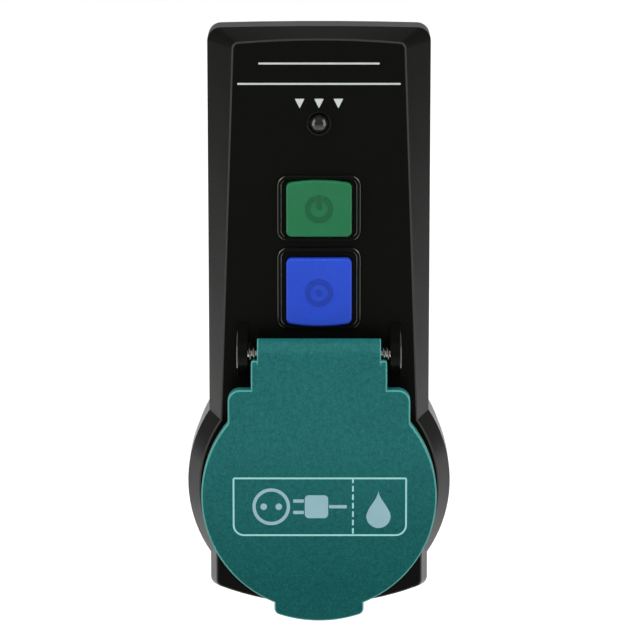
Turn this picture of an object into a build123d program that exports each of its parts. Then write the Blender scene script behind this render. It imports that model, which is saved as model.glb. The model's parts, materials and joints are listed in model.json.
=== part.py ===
from build123d import *
import math
import os
from collections import namedtuple

# Adapter plug with a residual-current switch, in millimetres.
# X is right, +Y is back towards the wall and +Z is up. The origin is the middle of the plug's face.
# The plug, the socket and the lid share the Y axis through the origin.

# One overrun for every cut that leaves a solid
overrun = 1.0

# Depths of the housing, each counted forward from the one before
boss_length = 17.5
platform_step = 8.5
back_slope_depth = 5.6
rear_depth = 16.5
panel_rise = 8.0
collar_height = 7.5
platform_y = -boss_length
back_y = platform_y - platform_step
slope_y = back_y - back_slope_depth
seam_y = back_y - rear_depth
panel_y = seam_y - panel_rise
collar_y = panel_y - collar_height

# Housing wall
wall = 2.4
back_inner_y = back_y - wall
panel_inner_y = panel_y + wall
platform_inner_y = platform_y - wall

# Radii round the socket, each counted outward from the one before
well_r = 19.5
insert_wall = 2.2
insert_r = well_r + insert_wall
insert_lip = 1.8
insert_flange_r = insert_r + insert_lip
collar_margin = 2.1
collar_r = insert_flange_r + collar_margin
panel_margin = 2.9
panel_bulge_r = collar_r + panel_margin
side_slope = 3.25
seam_bulge_r = panel_bulge_r + side_slope

# Outline of the housing at the joint of its two shells
seam_top_half = 26.7
seam_waist_inset = 5.25
seam_waist_half = seam_bulge_r - seam_waist_inset
seam_top_z = 110.3
seam_arch = 0.4
seam_foot_inset = 5.45
seam_foot_half = seam_bulge_r - seam_foot_inset
seam_foot_rise = 0.95
seam_foot_z = seam_foot_rise - seam_bulge_r
seam_foot_r = 66.0
seam_top_corner_r = 3.2
seam_foot_corner_r = 2.2

# Outline of the front panel
panel_top_half = 20.2
panel_waist_inset = 5.2
panel_waist_half = panel_bulge_r - panel_waist_inset
panel_top_z = 107.2
panel_arch = 0.9
panel_foot_inset = 4.1
panel_foot_half = panel_bulge_r - panel_foot_inset
panel_foot_drop = 0.1
panel_foot_z = -panel_bulge_r - panel_foot_drop
panel_foot_r = 66.0
panel_top_corner_r = 1.2
panel_foot_corner_r = 1.6
edge_break = 0.4
inner_corner_r = 1.0

# Round rear platform and the slope of the back
platform_inset = 0.25
platform_front_r = seam_bulge_r - platform_inset
platform_taper = 0.4
platform_rear_r = platform_front_r - platform_taper
platform_edge_r = 0.8
back_slope_inset = 3.5

# Plug
boss_r = 18.4
boss_cavity_r = 14.2
boss_edge_r = 0.6
plug_face_thickness = 3.0
notch_width = 5.0
notch_depth = 2.3
pin_pitch = 19.0
pin_r = 2.4
pin_length = 19.0
pin_tip_r = 1.7
pin_root_r = 2.6
pin_clearance = 0.03
pin_flange_r = 3.4
pin_flange_thickness = 2.0
pin_tail_width = 4.0
pin_tail_length = 6.0
pin_x = pin_pitch / 2
pin_flange_y = -plug_face_thickness - pin_flange_thickness
pin_tail_y = pin_flange_y - pin_tail_length

# Earth strips
earth_thickness = 0.8
earth_bend_r = 1.0
plug_earth_width = 4.4
plug_earth_inset = 0.3
plug_earth_z = boss_r - plug_earth_inset
plug_earth_start = 1.0
plug_earth_bar_y = -15.0
earth_slot_gap = 0.2
socket_earth_width = 4.0
socket_earth_inset = 0.2
socket_earth_z = well_r - socket_earth_inset
socket_earth_reach = 10.5
earth_dimple_r = 1.0
earth_dimple_back = 5.0
earth_link_width = 2.4
earth_link_z = -8.0

# Socket insert
insert_gap = 0.15
insert_flange_thickness = 1.2
well_depth = 17.5
well_floor = 2.5
guide_rib_width = 4.6
guide_rib_height = 2.2
guide_rib_length = 11.5
socket_hole_r = 2.75
earth_window_half = 3.0
earth_window_low_gap = 0.3
earth_window_high_gap = 1.4
earth_window_low_z = socket_earth_z - earth_thickness - earth_window_low_gap
earth_window_high_z = socket_earth_z + earth_window_high_gap
well_floor_y = collar_y + well_depth
insert_back_y = well_floor_y + well_floor

# Rotary shutter and its retainer
shutter_r = 14.5
shutter_thickness = 3.0
shutter_gap = 0.2
shutter_turn_deg = 36.0
shutter_passage_r = 3.0
shutter_pocket_r = 3.5
shutter_pocket_depth = 2.2
pivot_r = 1.6
pivot_clearance = 0.05
retainer_gap = 0.3
retainer_r = 17.3
retainer_thickness = 1.0
retainer_passage_r = 3.2
retainer_post_circle_r = 15.9
retainer_post_r = 1.2
retainer_peg_r = 0.7
peg_clearance = 0.04
retainer_post_count = 4
shutter_front_y = insert_back_y + shutter_gap
shutter_back_y = shutter_front_y + shutter_thickness
retainer_front_y = shutter_back_y + retainer_gap
retainer_back_y = retainer_front_y + retainer_thickness

# Socket contacts
contact_gap_y = 0.3
contact_bore_r = 2.45
contact_outer_r = 3.2
contact_length = 12.2
contact_slot = 0.8
contact_slot_length = 7.0
contact_tab_reach = 4.5
contact_tab_width = 4.0
contact_front_y = retainer_back_y + contact_gap_y
contact_back_y = contact_front_y + contact_length

# Collar and hinge
collar_root_inset = 1.4
collar_root_r = collar_r - collar_root_inset
collar_edge_r = 0.5
hinge_z = 34.0
barrel_r = 3.7
knuckle_half = 14.7
ear_inner_x = 17.0
ear_thickness = 2.6
ear_r = 3.6
ear_root_half = 6.8
ear_edge_r = 0.4
hinge_pin_r = 1.0
hinge_pin_clearance = 0.05
hinge_pin_fit = 0.02

# Lid
gasket_gap = 0.3
gasket_thickness = 1.0
gasket_inset = 1.0
gasket_width = 2.1
gasket_outer_r = collar_r - gasket_inset
gasket_inner_r = gasket_outer_r - gasket_width
lid_thickness = 2.2
lid_depth = 3.7
lid_wall = 1.8
lid_margin = 2.5
lid_r = collar_r + lid_margin
shoulder_half = 21.7
shoulder_z = 25.9
shoulder_corner_r = 2.9
neck_half = 16.2
neck_z = 33.0
neck_corner_r = 0.6
tab_half = 10.7
tab_reach = 2.4
tab_corner_r = 1.6
lid_edge_r = 0.6
seat_rib_width = 0.7
seat_rib_height = 0.8
seat_rib_gap = 0.1
lid_inner_y = collar_y - gasket_gap - gasket_thickness
lid_front_y = lid_inner_y - lid_thickness
lid_rim_y = lid_front_y + lid_depth
hinge_y = lid_front_y + barrel_r

# Hinge springs
hinge_spring_r = 1.45
hinge_wire_r = 0.25
hinge_spring_pitch = 0.94
hinge_spring_turns = 1.75
hinge_spring_side_gap = 0.1
hinge_leg_gap = 0.3

# Housing screws
screw_top_x = 19.2
screw_top_z = 99.8
screw_low_x = 19.2
screw_low_z = -17.8
screw_tube_r = 4.7
screw_recess_r = 3.2
screw_hole_r = 1.65
screw_land = 3.0
screw_joint_y = -38.0
screw_head_r = 2.9
screw_head_height = 2.0
screw_drive_r = 1.3
screw_drive_depth = 1.2
screw_shank_r = 1.45
screw_shank_length = 10.5
screw_boss_r = 3.2
screw_pilot_r = 1.5
screw_pilot_spare = 0.5
screw_seat_y = screw_joint_y + screw_land

# Seal between the shells
seal_inset = 1.0
seal_width = 0.9
seal_half_height = 0.6
seal_clearance = 0.03

# Circuit board
board_half = 14.0
board_low_z = 36.0
board_high_z = 104.0
board_thickness = 1.6
board_corner_r = 1.0
button_room = 7.6
post_r = 2.4
post_pilot_r = 0.8
board_screw_x = 11.5
board_screw_top_z = 101.4
board_screw_low_z = 56.5
board_screw_r = 0.75
board_screw_clearance = 0.25
board_screw_length = 5.0
board_screw_head_r = 1.7
board_screw_head_height = 1.2
board_front_y = panel_inner_y + button_room
board_back_y = board_front_y + board_thickness

# Buttons
button_half = 7.8
button_proud = 2.3
button_corner_r = 1.3
button_edge_r = 0.5
button_arch = 0.75
button_gap = 0.2
button_dish_r = 70.0
button_dish_depth = 0.35
flange_margin = 1.1
flange_thickness = 1.0
flange_gap = 0.1
stem_r = 1.8
reset_low_z = 61.35
reset_high_z = 74.15
test_low_z = 40.45
test_high_z = 56.1
reset_travel = 2.2
test_travel = 2.0
button_front_y = panel_y - button_proud
flange_front_y = panel_inner_y + flange_gap
flange_back_y = flange_front_y + flange_thickness
reset_z = (reset_low_z + reset_high_z) / 2
test_z = (test_low_z + test_high_z) / 2

# Raised rims round the buttons
rim_half = 9.9
rim_width = 0.95
rim_corner_r = 2.5
rim_height = 0.9
rim_edge_r = 0.3
reset_rim_low_z = 60.2
reset_rim_high_z = 75.9
test_rim_low_z = 38.9
test_rim_high_z = 58.55

# Indicator lamp
lamp_z = 88.3
lens_r = 2.2
lens_clearance = 0.1
lens_recess_r = 2.95
lens_recess_depth = 0.8
lens_flange_r = 3.1
lens_flange_thickness = 0.8
lamp_r = 1.5
lamp_height = 3.4

# Contact mechanism, laid out forward from the back wall
carrier_gap = 0.3
carrier_arm_thickness = 0.8
bridge_thickness = 0.6
rivet_height = 0.5
rivet_r = 1.4
contact_opening = 1.3
carrier_travel = 1.2
strip_thickness = 0.8
carrier_depth = 6.5
carrier_half = 7.0
carrier_half_height = 5.0
carrier_arm_half = 13.0
carrier_arm_half_height = 3.0
carrier_floor = 1.0
stem_room = 0.3
guide_pin_x = 5.6
guide_pin_r = 0.9
guide_pin_clearance = 0.08
bridge_x = 11.0
bridge_half_width = 1.8
bridge_half_length = 8.0
rivet_offset_z = 6.0
carrier_back_y = back_inner_y - carrier_gap
bridge_back_y = carrier_back_y - carrier_arm_thickness
bridge_front_y = bridge_back_y - bridge_thickness
strip_back_y = bridge_front_y - rivet_height - contact_opening - rivet_height
strip_front_y = strip_back_y - strip_thickness
carrier_front_y = carrier_back_y - carrier_depth
supply_rivet_z = reset_z - rivet_offset_z
load_rivet_z = reset_z + rivet_offset_z

# Contact strips
strip_half_width = 2.0
supply_low_z = 44.0
load_outer_x = 21.0
load_low_half = 2.0

# Latch plate on the plunger
latch_gap = 0.7
latch_thickness = 0.8
latch_half = 3.6
latch_slot_half = 2.1
latch_drop = 5.35
latch_rise = 9.25
latch_tab_reach = 4.6
stem_groove_r = 1.3
stem_groove_margin = 0.4
latch_low_z = reset_z - latch_drop
latch_tab_z = reset_z + latch_rise
latch_back_y = carrier_front_y - carrier_travel - latch_gap
latch_front_y = latch_back_y - latch_thickness

# Trip coil
coil_y = -34.2
coil_stand_off = 2.0
coil_length = 20.0
coil_plate = 1.0
coil_plate_half = 4.7
bobbin_flange_r = 4.4
bobbin_flange = 1.0
bobbin_bore_r = 1.95
bobbin_tube_r = 2.5
winding_gap = 0.02
winding_r = 4.2
plunger_r = 1.8
plunger_nose = 5.0
plunger_top_gap = 4.0
nose_r = 0.9
nose_hole_r = 1.0
trip_travel = 2.0
coil_low_z = latch_tab_z + coil_stand_off
coil_high_z = coil_low_z + coil_length
plunger_shoulder_z = coil_low_z + plunger_nose

# Coil springs inside
reset_spring_r = 2.9
reset_wire_r = 0.25
reset_spring_turns = 4.5
carrier_spring_r = 1.5
carrier_wire_r = 0.17
carrier_spring_turns = 3.5
plunger_spring_r = 1.35
plunger_wire_r = 0.15
plunger_spring_turns = 4.0
shutter_spring_r = 2.5
shutter_wire_r = 0.2
shutter_spring_turns = 1.5
spring_end_gap = 0.05
quarters = 4
gap_samples = 36

# Summation transformer
ring_y = -36.5
ring_low_z = 25.5
ring_height = 6.0
ring_hole_r = 3.8
ring_outer_r = 7.5
core_cover = 0.8
core_gap = 0.02
winding_sweep_deg = 300.0
cradle_half = 8.6
cradle_thickness = 1.0
cradle_inset = 0.9
cradle_gap = 0.2
cradle_height = 4.6

# Insulated wires
wire_r = 0.9
wire_rise = 4.5
wire_hole_x = 1.7
wire_arc_share = 0.45
wire_clear_of_ring = 2.0
wire_below_strip = 4.0
wire_low_x = 7.0
wire_low_y = -24.0
wire_low_z = 9.5
wire_middle_x = 6.5
wire_middle_y = -31.0
wire_middle_z = 17.0

# Small parts on the board
test_leaf_half = 2.0
test_leaf_thickness = 0.4
test_leaf_low_z = 39.0
test_leaf_foot = 3.4
test_leaf_high_z = 51.0
test_stem_end = 2.8
chip_x = 6.5
chip_z = 82.0
chip_half_width = 3.2
chip_half_length = 4.8
chip_height = 3.0
chip_stand = 0.4
chip_leg_width = 0.6
chip_leg_pitch = 2.4
chip_leg_reach = 0.7
chip_legs_a_side = 4
capacitor_x = 7.5
capacitor_z = 93.5
capacitor_r = 3.0
capacitor_height = 6.2
diode_x = -8.5
diode_low_z = 78.0
diode_pitch = 3.0
diode_r = 1.1
diode_length = 4.4
diode_count = 4
resistor_x = 11.8
resistor_z = 52.0
resistor_r = 1.4
resistor_length = 8.0
varistor_x = -11.8
varistor_z = 51.0
varistor_r = 3.3
varistor_thickness = 3.2

Outline = namedtuple(
    "Outline",
    "top_half waist_half top_z arch bulge_r foot_half foot_z foot_r top_corner_r foot_corner_r",
)
seam_outline = Outline(
    seam_top_half, seam_waist_half, seam_top_z, seam_arch, seam_bulge_r,
    seam_foot_half, seam_foot_z, seam_foot_r, seam_top_corner_r, seam_foot_corner_r,
)
panel_outline = Outline(
    panel_top_half, panel_waist_half, panel_top_z, panel_arch, panel_bulge_r,
    panel_foot_half, panel_foot_z, panel_foot_r, panel_top_corner_r, panel_foot_corner_r,
)


def inset(outline, gap, corner_r):
    """The same outline drawn inwards by gap, with its own corner radius."""
    return outline._replace(
        top_half=outline.top_half - gap,
        waist_half=outline.waist_half - gap,
        top_z=outline.top_z - gap,
        bulge_r=outline.bulge_r - gap,
        foot_half=outline.foot_half - gap,
        foot_z=outline.foot_z + gap,
        foot_r=outline.foot_r - gap,
        top_corner_r=corner_r,
        foot_corner_r=corner_r,
    )


def outline_face(outline):
    """Front view of the housing: tapered top, round bulge and shallow foot."""
    waist_z = math.sqrt(outline.bulge_r**2 - outline.waist_half**2)
    heel_z = -math.sqrt(outline.bulge_r**2 - outline.foot_half**2)
    toe_z = outline.foot_z + outline.foot_r - math.sqrt(outline.foot_r**2 - outline.foot_half**2)
    top, waist = outline.top_half, outline.waist_half
    foot, bulge = outline.foot_half, outline.bulge_r
    edges = [
        ThreePointArc((-top, outline.top_z), (0, outline.top_z + outline.arch), (top, outline.top_z)),
        Line((top, outline.top_z), (waist, waist_z)),
        ThreePointArc((waist, waist_z), (bulge, 0), (foot, heel_z)),
        Line((foot, heel_z), (foot, toe_z)),
        ThreePointArc((foot, toe_z), (0, outline.foot_z), (-foot, toe_z)),
        Line((-foot, toe_z), (-foot, heel_z)),
        ThreePointArc((-foot, heel_z), (-bulge, 0), (-waist, waist_z)),
        Line((-waist, waist_z), (-top, outline.top_z)),
    ]
    face = make_face(edges)
    face = fillet(face.vertices().sort_by(Axis.Y)[-2:], outline.top_corner_r)
    return fillet(face.vertices().sort_by(Axis.Y)[:2], outline.foot_corner_r)


def front_plane(y):
    """Drawing plane at depth y that faces the front, with X right and Z up."""
    return Plane.XZ.offset(-y)


def slab(shape, back, front):
    """A shape drawn in front view, made solid from depth back forward to depth front."""
    return extrude(front_plane(back) * shape, amount=back - front)


def between(back_shape, back, front_shape, front):
    """A straight-sided solid from one front view at depth back to another at depth front."""
    return loft([front_plane(back) * back_shape, front_plane(front) * front_shape], ruled=True)


def disc(x, z, radius):
    return Pos(x, z) * Circle(radius)


def rod(x, z, radius, back, front):
    """A round bar along Y."""
    return slab(disc(x, z, radius), back, front)


def rectangle(low_x, high_x, low_z, high_z, corner_r=0):
    middle = Pos((low_x + high_x) / 2, (low_z + high_z) / 2)
    width, height = high_x - low_x, high_z - low_z
    if corner_r:
        return middle * RectangleRounded(width, height, corner_r)
    return middle * Rectangle(width, height)


def block(xs, ys, zs):
    """A box from its lowest and highest X, Y and Z."""
    spans = [high - low for low, high in (xs, ys, zs)]
    middles = [(low + high) / 2 for low, high in (xs, ys, zs)]
    return Pos(*middles) * Box(*spans)


def bar_x(y, z, radius, low, high):
    """A round bar along X."""
    return extrude(Plane.YZ.offset(low) * (Pos(y, z) * Circle(radius)), amount=high - low)


def bar_z(x, y, radius, low, high):
    """A round bar along Z."""
    return extrude(Plane.XY.offset(low) * (Pos(x, y) * Circle(radius)), amount=high - low)


def profile_x(shape, low, high):
    """A shape drawn in side view, with Y and Z, made solid from X low to X high."""
    return extrude(Plane.YZ.offset(low) * shape, amount=high - low)


def both_sides(shape):
    """A solid and its mirror image on the other side of the middle."""
    return [shape, mirror(shape, about=Plane.YZ)]


def screw_places():
    """Front-view places of the four housing screws and the depth where each recess starts."""
    return [
        (side * x, z, start)
        for side in (-1, 1)
        for x, z, start in ((screw_top_x, screw_top_z, back_y), (screw_low_x, screw_low_z, platform_y))
    ]


def board_screw_places():
    return [(-board_screw_x, board_screw_top_z), (board_screw_x, board_screw_top_z), (0, board_screw_low_z)]


def seal_ring(clearance):
    """Front view of the seal's path along the joint of the shells."""
    outer = outline_face(inset(seam_outline, seal_inset - clearance, inner_corner_r))
    inner = outline_face(inset(seam_outline, seal_inset + seal_width + clearance, inner_corner_r))
    return outer - inner


def seal_groove():
    half = seal_half_height + seal_clearance
    return slab(seal_ring(seal_clearance), seam_y + half, seam_y - half)


def button_shape(low_z, high_z, arch_up, grow):
    """Front view of a button cap: three straight sides and one arched."""
    half = button_half + grow
    low, high = low_z - grow, high_z + grow
    base, crown = (low, high) if arch_up else (high, low)
    rise = button_arch if arch_up else -button_arch
    edges = [
        Line((-half, crown), (-half, base)),
        Line((-half, base), (half, base)),
        Line((half, base), (half, crown)),
        ThreePointArc((half, crown), (0, crown + rise), (-half, crown)),
    ]
    face = make_face(edges)
    return fillet(face.vertices(), button_corner_r + grow)


def housing_screw_bosses(back, front):
    """Bosses of the front shell that the housing screws enter, from depth back to depth front."""
    return [rod(x, z, screw_boss_r, back, front) for x, z, _ in screw_places()]


def ear():
    """Right hinge ear, a tapered cheek with a round end on the hinge axis."""
    root_y = panel_y + edge_break
    root = Line((root_y, hinge_z - ear_root_half), (root_y, hinge_z + ear_root_half))
    outline = make_hull([*(Pos(hinge_y, hinge_z) * Circle(ear_r)).edges(), *root.edges()])
    cheek = profile_x(outline, ear_inner_x, ear_inner_x + ear_thickness)
    outer_edges = cheek.faces().sort_by(Axis.X)[-1].edges().sort_by(Axis.Y)
    return fillet(outer_edges[:-1], ear_edge_r)


def rim(low_z, high_z):
    """Raised rim round one button."""
    outer = rectangle(-rim_half, rim_half, low_z, high_z, rim_corner_r)
    inner = rectangle(
        -rim_half + rim_width, rim_half - rim_width, low_z + rim_width, high_z - rim_width,
        rim_corner_r - rim_width,
    )
    ridge = slab(outer - inner, panel_y, panel_y - rim_height)
    return fillet(ridge.faces().sort_by(Axis.Y)[0].edges(), rim_edge_r)


def front_shell():
    """Front moulding: sloped sides, panel, collar round the socket, hinge ears and button rims."""
    grown = inset(panel_outline, -edge_break, panel_top_corner_r + edge_break)
    shell = between(outline_face(seam_outline), seam_y, outline_face(grown), panel_y + edge_break)
    shell += between(outline_face(grown), panel_y + edge_break, outline_face(panel_outline), panel_y)
    cavity = between(
        outline_face(inset(seam_outline, wall, inner_corner_r)), seam_y,
        outline_face(inset(panel_outline, wall, inner_corner_r)), panel_inner_y,
    )
    cavity -= rod(0, 0, collar_root_r, seam_y, panel_inner_y)
    for boss in housing_screw_bosses(seam_y, panel_inner_y):
        cavity -= boss
    shell -= cavity
    collar = rod(0, 0, collar_r, panel_y + edge_break, collar_y)
    shell += fillet(collar.edges().sort_by(Axis.Y)[:1], collar_edge_r)
    for boss in housing_screw_bosses(screw_joint_y, seam_y):
        shell += boss
    shell += both_sides(ear())
    shell += rim(reset_rim_low_z, reset_rim_high_z)
    shell += rim(test_rim_low_z, test_rim_high_z)
    shell -= rod(0, 0, insert_r + insert_gap, seam_y + overrun, collar_y - overrun)
    flange_floor_y = collar_y + insert_flange_thickness
    shell -= rod(0, 0, insert_flange_r + insert_gap, flange_floor_y, collar_y - overrun)
    for low, high, arch_up in ((reset_low_z, reset_high_z, True), (test_low_z, test_high_z, False)):
        opening = button_shape(low, high, arch_up, button_gap)
        shell -= slab(opening, panel_inner_y + overrun, panel_y - overrun)
    shell -= rod(0, lamp_z, lens_r + lens_clearance, panel_inner_y + overrun, panel_y - overrun)
    shell -= between(
        disc(0, lamp_z, lens_r + lens_clearance), panel_y + lens_recess_depth, disc(0, lamp_z, lens_recess_r), panel_y
    )
    for x, z, _ in screw_places():
        pilot_end = screw_seat_y - screw_shank_length - screw_pilot_spare
        shell -= rod(x, z, screw_pilot_r, screw_joint_y + overrun, pilot_end)
    ear_reach = ear_inner_x + ear_thickness + overrun
    shell -= bar_x(hinge_y, hinge_z, hinge_pin_r + hinge_pin_fit, -ear_reach, ear_reach)
    return shell - seal_groove()


def transformer_cradle():
    """Two ribs of the back wall, hollowed to hold the transformer."""
    ribs = []
    for low in (ring_low_z + cradle_inset, ring_low_z + ring_height - cradle_inset - cradle_thickness):
        rib = block(
            (-cradle_half, cradle_half), (back_inner_y - cradle_height, back_inner_y), (low, low + cradle_thickness)
        )
        ribs.append(rib - bar_z(0, ring_y, ring_outer_r + cradle_gap, low - overrun, low + cradle_thickness + overrun))
    return ribs


def rear_shell():
    """Rear moulding: back with sloped edges, round platform, plug boss, posts and screw tubes."""
    outer_face = outline_face(seam_outline)
    back_outline = inset(seam_outline, back_slope_inset, seam_foot_corner_r)
    body = slab(outer_face, slope_y, seam_y)
    body += between(outline_face(back_outline), back_y, outer_face, slope_y)
    platform = between(disc(0, 0, platform_rear_r), platform_y, disc(0, 0, platform_front_r), seam_y)
    body += fillet(platform.edges().sort_by(Axis.Y)[-1:], platform_edge_r)
    boss = rod(0, 0, boss_r, 0, platform_y)
    body += fillet(boss.edges().sort_by(Axis.Y)[-1:], boss_edge_r)
    inner_face = outline_face(inset(seam_outline, wall, inner_corner_r))
    inner_back = outline_face(inset(seam_outline, wall + back_slope_inset, inner_corner_r))
    cavity = slab(inner_face, slope_y, seam_y)
    cavity += between(inner_back, back_inner_y, inner_face, slope_y)
    cavity += rod(0, 0, platform_rear_r - wall, platform_inner_y, seam_y)
    cavity += rod(0, 0, boss_cavity_r, -plug_face_thickness, platform_inner_y)
    for x, z, start in screw_places():
        cavity -= rod(x, z, screw_tube_r, start, screw_joint_y)
    for x, z in board_screw_places():
        cavity -= rod(x, z, post_r, back_inner_y, board_back_y)
    for rib in transformer_cradle():
        cavity -= rib
    shell = body - cavity
    for x, z, start in screw_places():
        shell -= rod(x, z, screw_recess_r, start + overrun, screw_seat_y)
        shell -= rod(x, z, screw_hole_r, screw_seat_y + overrun, screw_joint_y - overrun)
    for x, z in board_screw_places():
        shell -= rod(x, z, post_pilot_r, board_back_y + board_screw_length, board_back_y - overrun)
    half_notch = notch_width / 2
    notch = block(
        (boss_r - notch_depth, boss_r + overrun), (platform_y, overrun), (-half_notch, half_notch)
    )
    for cut in both_sides(notch):
        shell -= cut
    for x in (-pin_x, pin_x):
        shell -= rod(x, 0, pin_root_r + pin_clearance, overrun, -plug_face_thickness - overrun)
    half_slot = plug_earth_width / 2 + earth_slot_gap
    recess_floor_z = plug_earth_z - earth_thickness
    bar_front_y = plug_earth_bar_y - earth_thickness - earth_slot_gap
    recess = block((-half_slot, half_slot), (bar_front_y, overrun), (recess_floor_z, boss_r + overrun))
    passage = block(
        (-half_slot, half_slot), (bar_front_y, plug_earth_bar_y + earth_slot_gap), (-boss_r, boss_r)
    )
    shell -= recess
    shell -= mirror(recess, about=Plane.XY)
    shell -= passage
    return shell - seal_groove()


def shell_seal():
    """Rubber cord that closes the joint of the two shells."""
    return slab(seal_ring(0), seam_y + seal_half_height, seam_y - seal_half_height)


def housing_screws():
    """Four screws with cross-slotted pan heads, driven from the back."""
    screws = []
    for x, z, _ in screw_places():
        head_top = screw_seat_y + screw_head_height
        screw = rod(x, z, screw_head_r, head_top, screw_seat_y)
        screw += rod(x, z, screw_shank_r, screw_seat_y, screw_seat_y - screw_shank_length)
        half_slot = screw_drive_r / 2
        drive_ys = (head_top - screw_drive_depth, head_top + overrun)
        for wide, high in ((screw_drive_r, half_slot / 2), (half_slot / 2, screw_drive_r)):
            screw -= block((x - wide, x + wide), drive_ys, (z - high, z + high))
        screws.append(screw)
    return screws


def pin(side):
    """One plug pin with its flange inside the plug face and its square tail."""
    x = side * pin_x
    shank = rod(x, 0, pin_r, pin_length, 0)
    shank = fillet(shank.edges().sort_by(Axis.Y)[-1:], pin_tip_r)
    shank += rod(x, 0, pin_root_r, 0, -plug_face_thickness)
    shank += rod(x, 0, pin_flange_r, -plug_face_thickness, pin_flange_y)
    half = pin_tail_width / 2
    return shank + block((x - half, x + half), (pin_tail_y, pin_flange_y), (-half, half))


def bent_strip(half_width, bar_y, open_y, half_z, bend_inside):
    """A U-shaped strip: a bar across at bar_y and two arms that run to open_y."""
    step = math.copysign(earth_thickness, open_y - bar_y)
    outer = rectangle(min(bar_y, open_y), max(bar_y, open_y), -half_z, half_z)
    inner_half = half_z - earth_thickness
    inner_start = bar_y + step
    far = open_y + math.copysign(overrun, step)
    inner = rectangle(min(inner_start, far), max(inner_start, far), -inner_half, inner_half)
    corners = outer.vertices().sort_by(Axis.X, reverse=step < 0)[:2]
    outer = fillet(corners, earth_bend_r)
    if bend_inside:
        corners = inner.vertices().sort_by(Axis.X, reverse=step < 0)[:2]
        inner = fillet(corners, bend_inside)
    return profile_x(outer - inner, -half_width, half_width)


def plug_earth_strip():
    """Brass strip whose two arms lie on the plug's sides and whose bar crosses inside the boss."""
    bar_front_y = plug_earth_bar_y - earth_thickness
    bend = earth_bend_r - earth_thickness
    return bent_strip(plug_earth_width / 2, bar_front_y, -plug_earth_start, plug_earth_z, bend)


def socket_earth_strip():
    """Spring strip with two dimpled fingers inside the well and a bar behind the shutter."""
    reach_y = well_floor_y - socket_earth_reach
    bend = earth_bend_r - earth_thickness
    half = socket_earth_width / 2
    strip = bent_strip(half, strip_back_y, reach_y, socket_earth_z, bend)
    dimple_z = socket_earth_z - earth_thickness
    dimple_y = well_floor_y - earth_dimple_back
    arm_middle = socket_earth_z - earth_thickness / 2
    for side in (-1, 1):
        dimple = bar_x(dimple_y, side * dimple_z, earth_dimple_r, -half, half)
        outside = block(
            (-half - overrun, half + overrun),
            (dimple_y - earth_dimple_r - overrun, dimple_y + earth_dimple_r + overrun),
            sorted((side * arm_middle, side * (arm_middle + earth_dimple_r + overrun))),
        )
        strip += dimple - outside
    return strip


def earth_link():
    """Strip that joins the socket's earth bar to the plug's."""
    half = earth_link_width / 2
    thick = earth_thickness / 2
    ys = (strip_back_y, plug_earth_bar_y - earth_thickness)
    return block((-half, half), ys, (earth_link_z - thick, earth_link_z + thick))


def socket_insert():
    """Round well with its floor, guide ribs, pin holes, earth windows and shutter posts."""
    insert = rod(0, 0, insert_r, insert_back_y, collar_y)
    insert += rod(0, 0, insert_flange_r, collar_y + insert_flange_thickness, collar_y)
    insert -= rod(0, 0, well_r, well_floor_y, collar_y - overrun)
    half_rib = guide_rib_width / 2
    rib = block(
        (well_r - guide_rib_height, well_r + guide_rib_height / 2),
        (well_floor_y - guide_rib_length, well_floor_y),
        (-half_rib, half_rib),
    )
    insert += both_sides(rib)
    insert += rod(0, 0, pivot_r, retainer_back_y, insert_back_y)
    for x, z in retainer_posts():
        insert += rod(x, z, retainer_post_r, retainer_front_y, insert_back_y)
        insert += rod(x, z, retainer_peg_r, retainer_back_y, retainer_front_y)
    for x in (-pin_x, pin_x):
        insert -= rod(x, 0, socket_hole_r, insert_back_y + overrun, well_floor_y - overrun)
    window = block(
        (-earth_window_half, earth_window_half),
        (well_floor_y - socket_earth_reach - overrun, insert_back_y + overrun),
        (earth_window_low_z, earth_window_high_z),
    )
    insert -= window
    return insert - mirror(window, about=Plane.XY)


def retainer_posts():
    """Places of the posts that carry the shutter's retainer."""
    turn = math.tau / retainer_post_count
    angles = [turn * (number + 1 / 2) for number in range(retainer_post_count)]
    return [(retainer_post_circle_r * math.cos(a), retainer_post_circle_r * math.sin(a)) for a in angles]


def rotary_shutter():
    """Disc that closes the pin holes at rest and turns to let both pins through together."""
    shutter = rod(0, 0, shutter_r, shutter_back_y, shutter_front_y)
    shutter -= rod(0, 0, pivot_r + pivot_clearance, shutter_back_y + overrun, shutter_front_y - overrun)
    shutter -= rod(0, 0, shutter_pocket_r, shutter_back_y + overrun, shutter_back_y - shutter_pocket_depth)
    turn = math.radians(shutter_turn_deg)
    for side in (-1, 1):
        x, z = side * pin_x * math.cos(turn), side * pin_x * math.sin(turn)
        shutter -= rod(x, z, shutter_passage_r, shutter_back_y + overrun, shutter_front_y - overrun)
    return shutter


def shutter_retainer():
    """Cover plate that keeps the shutter on its pivot."""
    plate = rod(0, 0, retainer_r, retainer_back_y, retainer_front_y)
    holes = [disc(0, 0, pivot_r + pivot_clearance)]
    holes += [disc(x, 0, retainer_passage_r) for x in (-pin_x, pin_x)]
    holes += [disc(x, z, retainer_peg_r + peg_clearance) for x, z in retainer_posts()]
    for hole in holes:
        plate -= slab(hole, retainer_back_y + overrun, retainer_front_y - overrun)
    return plate


def socket_contact(side):
    """Slotted sleeve that grips one pin, with a tab for its load strip."""
    x = side * pin_x
    sleeve = rod(x, 0, contact_outer_r, contact_back_y, contact_front_y)
    half_slot = contact_slot / 2
    reach = contact_outer_r + overrun
    sleeve -= block(
        (x - half_slot, x + half_slot),
        (contact_front_y - overrun, contact_front_y + contact_slot_length),
        (-reach, reach),
    )
    half_tab = contact_tab_width / 2
    tab_xs = sorted((x, x + side * contact_tab_reach))
    sleeve += block(tab_xs, (contact_front_y, contact_front_y + strip_thickness), (-half_tab, half_tab))
    return sleeve - rod(x, 0, contact_bore_r, contact_back_y + overrun, contact_front_y - overrun)


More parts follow.
